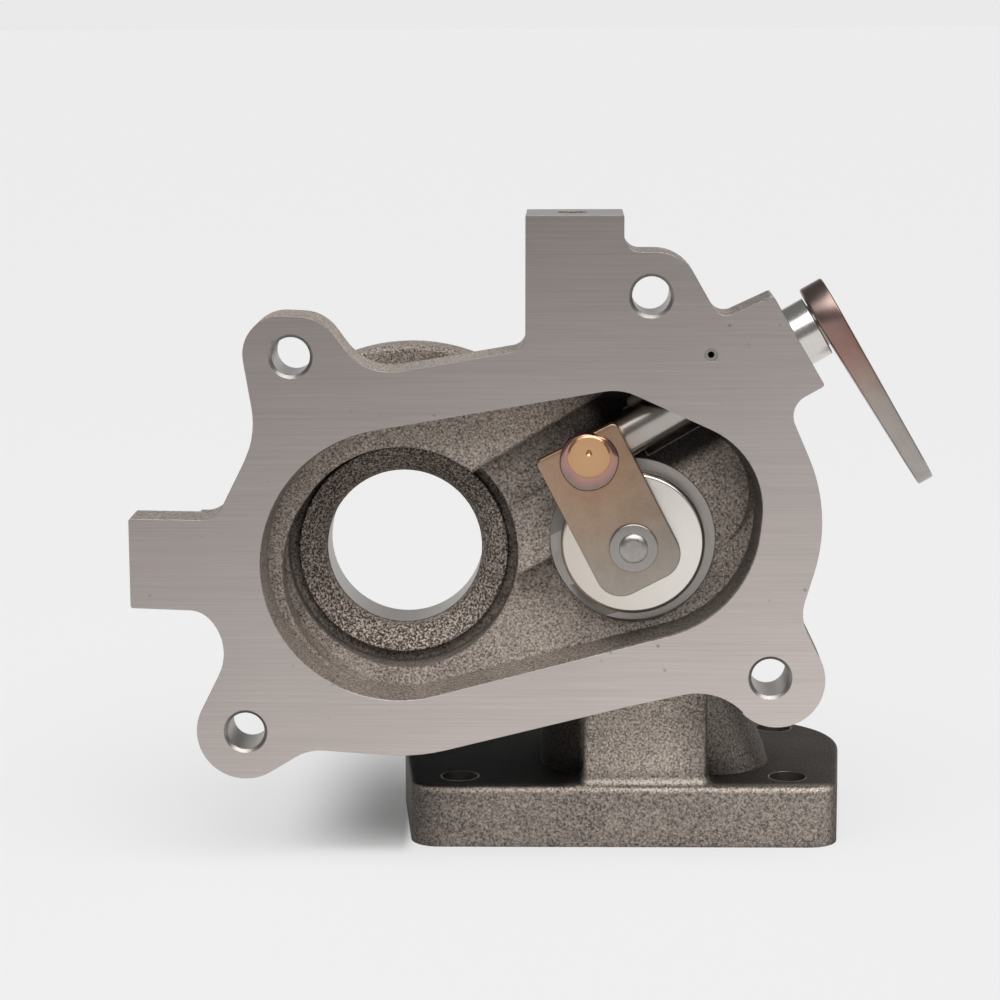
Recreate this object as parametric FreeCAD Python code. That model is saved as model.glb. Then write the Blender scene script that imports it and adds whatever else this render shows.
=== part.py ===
import FreeCAD, Part

import math
import os

# Turbine housing of a small turbocharger, with its internal wastegate. Millimetres.
# Origin: centre of the inlet foot's gasket face. +Z is up, the outlet face looks along -Y.

# Driving dimensions.
OUTLET_Y = -48.0           # plane of the machined outlet face
FLANGE_T = 14.0            # outlet flange thickness
PAD_T = 20.0               # top pad and wastegate boss, front to back
SIDE_PAD_T = 11.4          # left pad, front to back
SIDE_PAD_ROOT_X = -99.5    # where the left pad grows to the flange's thickness
SIDE_PAD_Z0 = 50.0
SIDE_PAD_Z1 = 95.0
TOP_PAD_X0 = -22.9
TOP_PAD_X1 = -0.8
TOP_PAD_Z0 = 116.0
TURBINE_X = -52.3          # turbine axis
TURBINE_Z = 72.0
REAR_Y = 17.0              # centre housing face
REAR_FLANGE_R = 44.5
REAR_FLANGE_T = 11.0
REAR_RIM_CHAMFER = 1.0
REGISTER_R = 34.0          # register that locates the centre housing
REGISTER_DEPTH = 3.5
BACK_BORE_R = 29.5
REAR_BOLT_PCD = 78.0
REAR_BOLT_COUNT = 6        # the first one level with the turbine axis
REAR_BOLT_R = 2.5          # tapping hole, M6
EXDUCER_R = 18.4
RING_R = 24.6              # rough ring round the exducer bore, a funnel down to it
RING_CREST = 0.6
FUNNEL_DEPTH = 4.8
SHELF_ARC_R = 26.0         # where the shelf ends above the ring
MOAT_R = 27.2
SHROUD_R = 24.0            # where the wheel contour meets the scroll

FOOT_W = 102.8             # across the front corners
FOOT_BACK_W = 109.4        # across the back corners
FOOT_D = 66.0
FOOT_T = 15.0
FOOT_R = 7.0               # plan radius of the front corners
FOOT_BACK_R = 24.0
FOOT_EDGE_R = 1.6
RIB_X0 = -9.8              # front rib of the neck
RIB_X1 = 19.9
RIB_SETBACK = 0.4
RIB_TOP_Z = 62.0
RIB_EDGE_R = 2.0
RIB_ROOT_R = 2.5
FOOT_HOLE_X = 39.6         # half spacings of the foot's holes
FOOT_HOLE_Y = 23.5
FOOT_HOLE_R = 4.5

OUTLET_HOLES = [(-76.6, 120.3), (5.5, 134.0), (33.4, 45.3), (-88.6, 32.3)]
OUTLET_HOLE_R = 4.375      # tapping hole, M10 x 1.25
OUTLET_CHAMFER = 0.75
PAD_HOLE_R = 3.4           # tapping hole, M8
PAD_HOLE_DEPTH = 14.0
TOP_HOLE_X = -12.4
SIDE_HOLE_Z = 72.2
PAD_TOP = 152.2
SIDE_PAD_X = -114.7

WALL_T = 4.2               # cast wall
DRUM_WALL = 2.0            # metal past the last scroll section, behind the scroll
SHELF_DEPTH = 9.0          # levels inside the recess, behind the outlet face
WALL_DEPTH = 10.5
WALL_DRAFT = 1.2
FLOOR_DEPTH = 16.0
RING_DEPTH = 18.5
MOAT_DEPTH = 20.5
BUCKET_DEPTH = 24.5
SCROLL_Y = -8.0            # middle plane of the scroll

VALVE_X = 1.7              # wastegate port and flap axis
VALVE_Z = 75.6
SEAT_DEPTH = 12.5
SEAT_R = 19.3
BED_DEPTH = 12.3           # cast floor right of the spotface, below the shaft
BED_SIDE = -5.5            # its upper end, from the shaft's axis
BED_BACK = 19.0            # back of the bed, plateau and ramp, inside the floor behind them
RAMP_DEPTH = 16.5
RAMP_RISE = 14.5           # from the recess's lower wall to the ramp's upper end
PLATEAU_DEPTH = 11.4       # plateau between the turbine and the flap, at its lower edge
PLATEAU_SIDE = -16.4
PLATEAU_FALL = 3.8         # how far the plateau falls back towards the shaft
PLATEAU_TOP_SIDE = -2.0
PLATEAU_X = -12.0          # where the plateau ends under the flap
PORT_R = 13.0
FLAP_R = 16.8
FLAP_T = 5.0
FLAP_EDGE = 0.8
SEAT_GAP = 0.05
STEM_R = 3.0
RIVET_R = 3.5
WASHER_R = 5.65
WASHER_T = 1.0
COLLAR_R = 5.5
PLAY = 0.1                 # end play of the flap in its arm

CRANK_X = 10.3             # from the flap's axis to the bend of the cranked shaft
CRANK_Z = 20.1
SHAFT_X = VALVE_X - CRANK_X
SHAFT_Z = VALVE_Z + CRANK_Z
SHAFT_DEPTH = 10.5
SHAFT_ANGLE = 30.0
SHAFT_R = 5.2
SHAFT_CLEARANCE = 0.05
SHAFT_RELIEF = 0.8         # groove in the recess that the shaft turns in
RELIEF_FROM = -7.0
STUB_R = 5.0
STUB_RISE = 1.4            # the stub stands this far above the bend
PUNCH_RISE = 1.0
PUNCH_R = 0.9
BUSH_R = 7.3
BORE_FROM = 12.0           # stations along the shaft from its bend
BUSH_FROM = 27.0
BOSS_FACE = 55.2
BUSH_TO = 60.6
LEVER_FROM = 61.0
LEVER_T = 5.7
LEVER_TAPER = 1.9          # the inner face leans this much from the eye to the tip
LEVER_EYE_R = 9.2
LEVER_TIP_R = 6.5
LEVER_REACH = 37.4
LEVER_HOLE_R = 3.05
BOSS_W = 23.0
BOSS_L = 36.0
PIN_STATION = 36.4
PIN_OFFSET = 7.7
PIN_R = 1.5
PIN_BORE_R = 0.75
PIN_DEPTH = 17.0

ARM_T = 3.2
ARM_FRONT_DEPTH = 2.1      # arm's front face behind the outlet face
ARM_ABOVE = 5.5
ARM_BELOW = 32.2
ARM_LEFT = 11.1
ARM_RIGHT = 9.6
ARM_TOP_R = 1.5
ARM_TIP_R = 6.0
WELD_R = 7.0
WELD_T = 1.4

FAR = 300.0                # reach of cutting blocks, past every side

PARTS = {}


def vec(x, y, z):
    return FreeCAD.Vector(x, y, z)


def save(name, shape):
    PARTS[name] = shape
    shape.exportStep("parts/" + name + ".step")


# Outlines made of circles and their common tangents.
def belt_points(circles):
    """Tangent points of a closed outline. Circles are (x, z, r) in clockwise order seen
    from the front, r above zero where the outline bulges and below zero in a hollow."""
    count = len(circles)
    normals = []
    for i in range(count):
        x0, z0, r0 = circles[i]
        x1, z1, r1 = circles[(i + 1) % count]
        gap = math.hypot(x1 - x0, z1 - z0)
        along = math.atan2(z1 - z0, x1 - x0)
        turn = max(-1.0, min(1.0, (r0 - r1) / gap))
        normals.append(along + math.acos(turn))
    arcs = []
    for i in range(count):
        x, z, r = circles[i]
        first = normals[i - 1]
        last = normals[i]
        if r > 0:
            sweep = -((first - last) % (2 * math.pi))
        else:
            sweep = (last - first) % (2 * math.pi)
        arcs.append([(x + r * math.cos(a), z + r * math.sin(a))
                     for a in (first, first + sweep / 2, first + sweep)])
    return arcs


def belt(circles, place):
    """Closed wire of arcs and tangent lines, with place(u, w) giving each point."""
    arcs = belt_points(circles)
    edges = []
    for i, arc in enumerate(arcs):
        start, middle, end = [place(u, w) for u, w in arc]
        if start.distanceToPoint(end) > 1e-4:
            edges.append(Part.Arc(start, middle, end).toShape())
        following = place(*arcs[(i + 1) % len(arcs)][0])
        if end.distanceToPoint(following) > 1e-4:
            edges.append(Part.makeLine(end, following))
    return Part.Wire(Part.__sortEdges__(edges))


def front_plane(y):
    return lambda x, z: vec(x, y, z)


def level_plane(z):
    return lambda x, y: vec(x, y, z)


def prism(circles, y0, y1):
    face = Part.Face(belt(circles, front_plane(y0)))
    return face.extrude(vec(0, y1 - y0, 0))


def grown(circles, by):
    return [(x, z, r + by) for x, z, r in circles]


def tapered(lower, y0, upper, y1):
    wires = [belt(lower, front_plane(y0)), belt(upper, front_plane(y1))]
    return Part.makeLoft(wires, True, True)


def along_y(r, y0, y1, x=TURBINE_X, z=TURBINE_Z):
    return Part.makeCylinder(r, y1 - y0, vec(x, y0, z), vec(0, 1, 0))


def cone_y(r0, y0, r1, y1, x=TURBINE_X, z=TURBINE_Z):
    return Part.makeCone(r0, r1, y1 - y0, vec(x, y0, z), vec(0, 1, 0))


def block(x0, x1, y0, y1, z0, z1):
    return Part.makeBox(x1 - x0, y1 - y0, z1 - z0, vec(x0, y0, z0))


def rounded_rectangle(cx, cy, width, depth, r):
    """Corner circles of a rectangle in plan, clockwise seen from above."""
    w = width / 2 - r
    d = depth / 2 - r
    return [(cx - w, cy - d, r), (cx - w, cy + d, r), (cx + w, cy + d, r), (cx + w, cy - d, r)]


# Places along the cranked shaft.
ANGLE = math.radians(SHAFT_ANGLE)
SHAFT_Y = OUTLET_Y + SHAFT_DEPTH
BEND = vec(SHAFT_X, SHAFT_Y, SHAFT_Z)
SHAFT_DIR = vec(math.cos(ANGLE), 0, math.sin(ANGLE))
SHAFT_SIDE = vec(-math.sin(ANGLE), 0, math.cos(ANGLE))


def on_shaft(station, side=0.0, y=0.0):
    return BEND + SHAFT_DIR * station + SHAFT_SIDE * side + vec(0, y, 0)


def round_shaft(r, station0, station1):
    return Part.makeCylinder(r, station1 - station0, on_shaft(station0), SHAFT_DIR)


# Outlines seen from the front (x, z, r).
FLANGE = [
    (-114.1, 82.1, 0.6),      # left pad
    (-98.0, 88.0, -5.6),
    (-106.3, 105.3, -20.8),
    (-78.7, 120.7, 8.9),      # upper left lobe
    (-74.9, 119.7, 9.7),
    (-54.0, 129.9, -13.2),
    (-26.7, 124.8, -3.6),
    (-22.6, 151.8, 0.4),      # top pad
    (-1.1, 151.8, 0.4),
    (2.9, 147.5, -3.6),
    (6.3, 133.7, 10.2),       # upper right lobe
    (22.5, 133.1, -3.6),
    (32.7, 133.2, 0.6),       # wastegate boss
    (44.0, 113.7, 0.7),
    (43.0, 106.5, -5.1),
    (5.3, 81.3, 39.5),        # right side
    (50.1, 60.5, -9.4),
    (35.0, 44.6, 11.1),       # lower right lobe
    (16.6, 26.8, -14.8),
    (28.1, -80.4, -122.0),
    (-52.6, 71.6, 45.0),      # arc round the turbine
    (-71.2, 16.6, -11.2),
    (-88.7, 32.3, 11.3),      # lower left lobe
    (-105.1, 51.1, -11.8),
    (-101.2, 54.8, -6.4),
    (-114.1, 62.3, 0.6),
]
WINDOW = [
    (-52.6, 71.7, 32.0),
    (-3.1, 99.8, 12.6),
    (10.9, 84.8, 20.4),
    (2.5, 82.5, 28.5),
]
FLOOR = [
    (-53.0, 70.5, 28.0),
    (-2.9, 96.9, 10.5),
    (11.0, 84.3, 17.8),
    (3.5, 80.6, 17.5),
]
SHELF = [(-52.3, 80.0), (-33.8, 93.0), (-3.3, 111.3), (-3.0, 125.0), (-95.0, 125.0),
         (-95.0, 38.0), (-52.3, 38.0)]
SHELF_BAND = (-52.3, 68.6, 28.0)   # circle that thins the shelf to nothing at the lower left
SHELF_EDGE_R = 1.2

# Scroll sections: angle round the turbine axis, radius of the section's centre, its radius.
SCROLL = [
    (-32.0, 60.0, 14.5),
    (-12.0, 57.5, 14.3),
    (8.0, 54.0, 14.0),
    (28.0, 49.0, 13.0),
    (45.0, 42.5, 11.3),
    (65.0, 34.5, 8.8),
    (90.0, 30.3, 7.4),
    (135.0, 28.8, 6.7),
    (180.0, 27.6, 6.1),
    (225.0, 27.0, 5.5),
    (270.0, 26.4, 4.9),
    (312.0, 26.0, 4.2),
]
PORT_X = 8.2               # inlet port in the foot
PORT_Y = 1.0
PORT_W = 46.5
PORT_D = 36.0
PORT_CORNER_R = 10.0
DUCT_TOP_Z = 47.0
DUCT_OFFSET = 3.4          # from the scroll's first section to the middle of the duct's top


def scroll(extra):
    """Scroll as a smooth solid through its round sections, grown by extra."""
    wires = []
    for degrees, reach, r in SCROLL:
        a = math.radians(degrees)
        centre = vec(TURBINE_X + reach * math.cos(a), SCROLL_Y, TURBINE_Z + reach * math.sin(a))
        normal = vec(-math.sin(a), 0, math.cos(a))
        wires.append(Part.Wire(Part.makeCircle(r + extra, centre, normal)))
    return Part.makeLoft(wires, True, False)


def duct(extra, z0, z1):
    """Inlet duct from the foot's port up to the scroll's first section."""
    degrees, reach, r = SCROLL[0]
    top_r = r + extra
    top_x = TURBINE_X + reach * math.cos(math.radians(degrees)) + DUCT_OFFSET
    foot = rounded_rectangle(PORT_X, PORT_Y, PORT_W + 2 * extra, PORT_D + 2 * extra,
                             PORT_CORNER_R + extra)
    top = rounded_rectangle(top_x, SCROLL_Y, 2 * top_r + 4.0, 2 * top_r + 0.6,
                            top_r - 0.5)
    wires = [belt(foot, level_plane(z0)), belt(top, level_plane(z1))]
    return Part.makeLoft(wires, True, True)


def inlet_foot():
    """Foot flange with rounded corners and rounded upper and lower rims."""
    w = FOOT_W / 2
    back_w = FOOT_BACK_W / 2
    d = FOOT_D / 2
    plan = [
        (-w + FOOT_R, -d + FOOT_R, FOOT_R),
        (-back_w + FOOT_BACK_R, d - FOOT_BACK_R, FOOT_BACK_R),
        (back_w - FOOT_BACK_R, d - FOOT_BACK_R, FOOT_BACK_R),
        (w - FOOT_R, -d + FOOT_R, FOOT_R),
    ]
    solid = Part.Face(belt(plan, level_plane(0))).extrude(vec(0, 0, FOOT_T))
    rim = [e for e in solid.Edges if abs(e.BoundBox.ZMin - FOOT_T) < 1e-6]
    return solid.makeFillet(FOOT_EDGE_R, rim)


def outside():
    """Everything the casting adds, before its cavities are cut."""
    y0 = OUTLET_Y
    back = y0 + FLANGE_T
    flange = prism(FLANGE, y0, back)
    flange = flange.cut(block(-FAR, SIDE_PAD_ROOT_X, y0 + SIDE_PAD_T, back + 1,
                              SIDE_PAD_Z0, SIDE_PAD_Z1))
    top_pad = block(TOP_PAD_X0, TOP_PAD_X1, y0 + 2, y0 + PAD_T, TOP_PAD_Z0, PAD_TOP)
    boss = Part.makeBox(BOSS_L, BOSS_W, PAD_T - 2)
    boss.Placement = FreeCAD.Placement(
        on_shaft(BOSS_FACE - BOSS_L, -BOSS_W / 2, y0 + PAD_T - SHAFT_Y),
        FreeCAD.Rotation(SHAFT_DIR, SHAFT_SIDE, vec(0, -1, 0), "XYZ"))
    bucket = tapered(grown(WINDOW, WALL_T), y0 + FLANGE_T - 1,
                     grown(FLOOR, WALL_T + 1), y0 + BUCKET_DEPTH)
    hub = along_y(RING_R + WALL_T, y0 + FLANGE_T, REAR_Y - 2)
    drum = along_y(SCROLL[6][1] + SCROLL[6][2] + DRUM_WALL, SCROLL_Y, REAR_Y - 2)
    rear = along_y(REAR_FLANGE_R, REAR_Y - REAR_FLANGE_T, REAR_Y)
    rim = [e for e in rear.Edges if e.Length > 6 and e.BoundBox.YLength < 1e-6]
    rear = rear.makeChamfer(REAR_RIM_CHAMFER, rim)
    rib_y = -FOOT_D / 2 + FOOT_EDGE_R + RIB_SETBACK
    rib = block(RIB_X0, RIB_X1, rib_y, SCROLL_Y, FOOT_T - 2, RIB_TOP_Z)
    upright = [e for e in rib.Edges if e.BoundBox.ZLength > 20 and e.BoundBox.YMax < rib_y + 1]
    rib = rib.makeFillet(RIB_EDGE_R, upright)
    base = rib.fuse(inlet_foot()).removeSplitter()
    corner = [e for e in base.Edges
              if abs(e.BoundBox.ZMin - FOOT_T) < 1e-4 and abs(e.BoundBox.ZMax - FOOT_T) < 1e-4
              and RIB_X0 - 0.1 < e.BoundBox.XMin and e.BoundBox.XMax < RIB_X1 + 0.1
              and e.BoundBox.YMin < SCROLL_Y - 0.5]
    base = base.makeFillet(RIB_ROOT_R, corner)
    solid = flange
    for piece in (top_pad, boss, bucket, hub, drum, rear, scroll(WALL_T), base,
                  duct(WALL_T + 1.0, FOOT_T - 2, DUCT_TOP_Z)):
        solid = solid.fuse(piece)
    return solid


def recess():
    """Outlet recess: drafted wall, sloping band, then the floor."""
    y0 = OUTLET_Y
    wall = tapered(WINDOW, y0 - 0.5, grown(WINDOW, -WALL_DRAFT), y0 + WALL_DEPTH)
    slope = tapered(grown(WINDOW, -WALL_DRAFT), y0 + WALL_DEPTH, FLOOR, y0 + FLOOR_DEPTH)
    ring = along_y(MOAT_R, y0 + WALL_DEPTH, y0 + MOAT_DEPTH)
    return wall.fuse(slope).fuse(ring)


def shelf():
    """Raised shelf above the turbine bore, ending at the slanted edge of the pocket."""
    y0 = OUTLET_Y + SHELF_DEPTH
    corners = [vec(x, y0, z) for x, z in SHELF]
    solid = Part.Face(Part.makePolygon(corners + corners[:1])).extrude(vec(0, 14.0, 0))
    edge = [e for e in solid.Edges
            if abs(e.BoundBox.YMax - y0) < 1e-6 and e.BoundBox.ZMax < 112 and e.BoundBox.XLength > 20]
    return solid.makeFillet(SHELF_EDGE_R, edge)


def below_shaft(profile, station0, station1):
    """Bar along the shaft, with its section given as (side, depth) corners."""
    points = [on_shaft(station0, side, depth - SHAFT_DEPTH) for side, depth in profile]
    return Part.Face(Part.makePolygon(points + points[:1])).extrude(SHAFT_DIR * (station1 - station0))


def bed():
    """Cast floor to the right of the flap's spotface."""
    profile = [(BED_SIDE, BED_DEPTH), (-FAR, BED_DEPTH), (-FAR, BED_BACK), (BED_SIDE, BED_BACK)]
    right = block(VALVE_X, FAR, -FAR, FAR, VALVE_Z - SEAT_R, FAR)
    return below_shaft(profile, -FAR, FAR).common(right)


def plateau():
    """Sloping plateau between the turbine bore and the flap."""
    profile = [(PLATEAU_TOP_SIDE, PLATEAU_DEPTH + PLATEAU_FALL), (PLATEAU_SIDE, PLATEAU_DEPTH),
               (PLATEAU_SIDE, BED_BACK), (PLATEAU_TOP_SIDE, BED_BACK)]
    reach = block(TURBINE_X, PLATEAU_X, -FAR, FAR, -FAR, FAR)
    return below_shaft(profile, -FAR, FAR).common(reach)


def ramp():
    """Floor that rises from the plateau's foot to the lower wall of the recess."""
    x0, z0, r0 = WINDOW[0]
    x1, z1, r1 = WINDOW[-1]
    lean = math.atan2(z1 - z0, x1 - x0) + math.asin((r0 - r1) / math.hypot(x1 - x0, z1 - z0))
    along = vec(math.cos(lean), 0, math.sin(lean))
    up = vec(-math.sin(lean), 0, math.cos(lean))
    profile = [(-r0, WALL_DEPTH), (-r0 + WALL_DRAFT, WALL_DEPTH), (-r0 + WALL_DRAFT + RAMP_RISE, RAMP_DEPTH),
               (-r0 + WALL_DRAFT + RAMP_RISE, BED_BACK), (-r0, BED_BACK)]
    points = [vec(x0, OUTLET_Y + depth, z0) + up * side - along * FAR for side, depth in profile]
    return Part.Face(Part.makePolygon(points + points[:1])).extrude(along * (2 * FAR))


def casting():
    y0 = OUTLET_Y
    solid = outside().cut(recess())
    window = prism(grown(WINDOW, 1.5), y0 + SHELF_DEPTH - 1, y0 + FLOOR_DEPTH + 1)
    x, z, r = SHELF_BAND
    thinned = along_y(r, y0, y0 + MOAT_DEPTH + 2, x, z).common(
        block(-FAR, TURBINE_X, y0, y0 + MOAT_DEPTH + 2, -FAR, FAR))
    raised = shelf().common(window).cut(
        along_y(SHELF_ARC_R, y0, y0 + MOAT_DEPTH + 2)).cut(thinned)
    floor = bed().fuse(plateau()).fuse(ramp()).cut(along_y(MOAT_R, y0, REAR_Y))
    floor = floor.common(prism(grown(WINDOW, 1.0), y0, y0 + BED_BACK + 1))
    ring = along_y(RING_R, y0 + RING_DEPTH, y0 + BUCKET_DEPTH)
    solid = solid.fuse(raised).fuse(floor).fuse(ring)
    # turbine side: exducer bore, wheel contour, slot from the scroll, rear bores
    cuts = [
        cone_y(RING_R - RING_CREST, y0 + RING_DEPTH, EXDUCER_R, y0 + RING_DEPTH + FUNNEL_DEPTH),
        along_y(EXDUCER_R, y0 + RING_DEPTH - 3, SCROLL_Y - 4),
        cone_y(EXDUCER_R, SCROLL_Y - 4, SHROUD_R, SCROLL_Y + 5),
        along_y(BACK_BORE_R, SCROLL_Y + 5, REAR_Y + 1),
        along_y(REGISTER_R, REAR_Y - REGISTER_DEPTH, REAR_Y + 1),
        scroll(0.0),
        duct(0.0, -1.0, DUCT_TOP_Z - 1),
        along_y(SEAT_R, y0 + 3, y0 + SEAT_DEPTH, VALVE_X, VALVE_Z),
        along_y(PORT_R, y0 + SEAT_DEPTH - 1, SCROLL_Y, VALVE_X, VALVE_Z),
        round_shaft(SHAFT_R + SHAFT_RELIEF, RELIEF_FROM, BORE_FROM + 1),
        round_shaft(BUSH_R, BORE_FROM, BOSS_FACE + 5),
    ]
    for x, z in OUTLET_HOLES:
        cuts.append(along_y(OUTLET_HOLE_R, y0 - 1, y0 + FLANGE_T + 12, x, z))
        cuts.append(cone_y(OUTLET_HOLE_R + OUTLET_CHAMFER, y0, OUTLET_HOLE_R,
                           y0 + OUTLET_CHAMFER, x, z))
    for sx in (-1, 1):
        for sy in (-1, 1):
            cuts.append(Part.makeCylinder(FOOT_HOLE_R, FOOT_T + 2,
                                          vec(sx * FOOT_HOLE_X, sy * FOOT_HOLE_Y, -1)))
    for i in range(REAR_BOLT_COUNT):
        a = 2 * math.pi / REAR_BOLT_COUNT * i
        cuts.append(along_y(REAR_BOLT_R, REAR_Y - REAR_FLANGE_T - 1, REAR_Y + 1,
                            TURBINE_X + REAR_BOLT_PCD / 2 * math.cos(a),
                            TURBINE_Z + REAR_BOLT_PCD / 2 * math.sin(a)))
    cuts.append(Part.makeCylinder(PAD_HOLE_R, PAD_HOLE_DEPTH + 1,
                                  vec(TOP_HOLE_X, y0 + PAD_T / 2, PAD_TOP - PAD_HOLE_DEPTH)))
    cuts.append(Part.makeCylinder(PAD_HOLE_R, PAD_HOLE_DEPTH + 1,
                                  vec(SIDE_PAD_X - 1, y0 + SIDE_PAD_T / 2, SIDE_HOLE_Z),
                                  vec(1, 0, 0)))
    pin_at = on_shaft(PIN_STATION, PIN_OFFSET)
    cuts.append(along_y(PIN_R, y0 - 1, y0 + PIN_DEPTH, pin_at.x, pin_at.z))
    for tool in cuts:
        solid = solid.cut(tool)
    solid = solid.removeSplitter()
    return max(solid.Solids, key=lambda s: s.Volume)


# Wastegate.
def bush():
    solid = round_shaft(BUSH_R, BUSH_FROM, BUSH_TO).cut(
        round_shaft(SHAFT_R + SHAFT_CLEARANCE, BUSH_FROM - 1, BUSH_TO + 1))
    pin_at = on_shaft(PIN_STATION, PIN_OFFSET)
    return solid.cut(along_y(PIN_R, OUTLET_Y - 1, OUTLET_Y + PIN_DEPTH, pin_at.x, pin_at.z))


def lock_pin():
    """Tubular pin that locks the bush."""
    pin_at = on_shaft(PIN_STATION, PIN_OFFSET)
    y0 = OUTLET_Y + 0.3
    solid = along_y(PIN_R, y0, OUTLET_Y + PIN_DEPTH, pin_at.x, pin_at.z)
    return solid.cut(along_y(PIN_BORE_R, y0 - 1, OUTLET_Y + PIN_DEPTH + 1, pin_at.x, pin_at.z))


ARM_Y = OUTLET_Y + ARM_FRONT_DEPTH
ARM_LINE = vec(VALVE_X - SHAFT_X, 0, VALVE_Z - SHAFT_Z).normalize()
STUB_Z = SHAFT_Z + STUB_RISE


def shaft():
    """Cranked shaft: a straight run with a stub that turns forward through the arm."""
    run = round_shaft(SHAFT_R, 0.0, LEVER_FROM + LEVER_T)
    knee = Part.makeSphere(SHAFT_R, BEND)
    stub = along_y(STUB_R, ARM_Y - 1.6, SHAFT_Y, SHAFT_X, STUB_Z)
    dome = cone_y(STUB_R - 0.5, ARM_Y - 2.0, STUB_R, ARM_Y - 1.6, SHAFT_X, STUB_Z)
    flat = block(-FAR, FAR, SHAFT_Y - 8, ARM_Y + ARM_T, -FAR, FAR)
    solid = run.fuse(knee).cut(flat).fuse(stub).fuse(dome)
    punch = cone_y(PUNCH_R, ARM_Y - 2.1, 0.1, ARM_Y - 1.4, SHAFT_X, STUB_Z + PUNCH_RISE)
    return solid.cut(punch).removeSplitter()


def arm_weld():
    """Bead between the stub and the arm's front face, thicker below the stub."""
    wires = [Part.Wire(Part.makeCircle(r, vec(SHAFT_X, y, z), vec(0, 1, 0)))
             for r, y, z in ((STUB_R + 0.3, ARM_Y - WELD_T, STUB_Z),
                             (WELD_R - 0.4, ARM_Y - WELD_T * 0.7, SHAFT_Z + STUB_RISE * 0.2),
                             (WELD_R, ARM_Y, SHAFT_Z))]
    bead = Part.makeLoft(wires, True, True)
    return bead.cut(along_y(STUB_R, ARM_Y - 3, ARM_Y + 1, SHAFT_X, STUB_Z))


def arm():
    """Arm plate with square upper corners and a rounded lower end."""
    across = vec(-ARM_LINE.z, 0, ARM_LINE.x)

    def place(u, w):
        return vec(SHAFT_X, ARM_Y, SHAFT_Z) + across * u + ARM_LINE * -w
    plan = [
        (-ARM_LEFT + ARM_TIP_R, -ARM_BELOW + ARM_TIP_R, ARM_TIP_R),
        (-ARM_LEFT + ARM_TOP_R, ARM_ABOVE - ARM_TOP_R, ARM_TOP_R),
        (ARM_RIGHT - ARM_TOP_R, ARM_ABOVE - ARM_TOP_R, ARM_TOP_R),
        (ARM_RIGHT - ARM_TIP_R, -ARM_BELOW + ARM_TIP_R, ARM_TIP_R),
    ]
    solid = Part.Face(belt(plan, place)).extrude(vec(0, ARM_T, 0))
    solid = solid.cut(along_y(STUB_R, ARM_Y - 1, ARM_Y + ARM_T + 1, SHAFT_X, STUB_Z))
    return solid.cut(along_y(STEM_R + 0.08, ARM_Y - 1, ARM_Y + ARM_T + 1, VALVE_X, VALVE_Z))


SEAT_Y = OUTLET_Y + SEAT_DEPTH


def valve():
    """Flap with its collar, stem and riveted end."""
    back = SEAT_Y - SEAT_GAP
    front = back - FLAP_T
    head_y = ARM_Y - PLAY - WASHER_T
    collar_y = ARM_Y + ARM_T + PLAY
    disc = along_y(FLAP_R, front, back, VALVE_X, VALVE_Z)
    rims = [e for e in disc.Edges if e.BoundBox.YLength < 1e-6]
    solid = disc.makeChamfer(FLAP_EDGE, rims)
    collar = along_y(COLLAR_R, collar_y, front + 0.5, VALVE_X, VALVE_Z)
    stem = along_y(STEM_R, head_y, front, VALVE_X, VALVE_Z)
    head = cone_y(RIVET_R - 0.8, head_y - 0.85, RIVET_R, head_y, VALVE_X, VALVE_Z)
    return solid.fuse(collar).fuse(stem).fuse(head).removeSplitter()


def washer():
    y1 = ARM_Y - PLAY
    ring = along_y(WASHER_R, y1 - WASHER_T, y1, VALVE_X, VALVE_Z)
    rims = [e for e in ring.Edges if e.BoundBox.YLength < 1e-6 and abs(e.BoundBox.YMin - y1) > 0.5]
    ring = ring.makeChamfer(0.25, rims)
    return ring.cut(along_y(STEM_R, y1 - WASHER_T - 1, y1 + 1, VALVE_X, VALVE_Z))


def lever():
    """Lever plate on the shaft's outer end, with an eye and the rod's hole."""
    def place(u, w):
        return on_shaft(LEVER_FROM, -u, w)
    plan = [(0.0, 0.0, LEVER_EYE_R), (LEVER_REACH, 0.0, LEVER_TIP_R)]
    solid = Part.Face(belt(plan, place)).extrude(SHAFT_DIR * LEVER_T)
    rod_hole = Part.makeCylinder(LEVER_HOLE_R, LEVER_T + 2,
                                 on_shaft(LEVER_FROM - 1, -LEVER_REACH), SHAFT_DIR)
    seat = Part.makeCone(SHAFT_R, SHAFT_R + 1.5, 1.5,
                         on_shaft(LEVER_FROM + LEVER_T - 1.5), SHAFT_DIR)
    solid = solid.cut(round_shaft(SHAFT_R, LEVER_FROM - 1, LEVER_FROM + LEVER_T + 1))
    tip = -LEVER_REACH - LEVER_TIP_R
    corners = [on_shaft(LEVER_FROM, 0.0, -FAR), on_shaft(LEVER_FROM + LEVER_TAPER, tip, -FAR),
               on_shaft(LEVER_FROM - 1, tip, -FAR), on_shaft(LEVER_FROM - 1, 0.0, -FAR)]
    taper = Part.Face(Part.makePolygon(corners + corners[:1])).extrude(vec(0, 2 * FAR, 0))
    return solid.cut(rod_hole).cut(seat).cut(taper)


def lever_weld():
    """Bead that fills the countersink between the shaft's end and the lever."""
    bead = Part.makeCone(SHAFT_R, SHAFT_R + 1.5, 1.5,
                         on_shaft(LEVER_FROM + LEVER_T - 1.5), SHAFT_DIR)
    return bead.cut(round_shaft(SHAFT_R, LEVER_FROM, LEVER_FROM + LEVER_T + 1))


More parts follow.
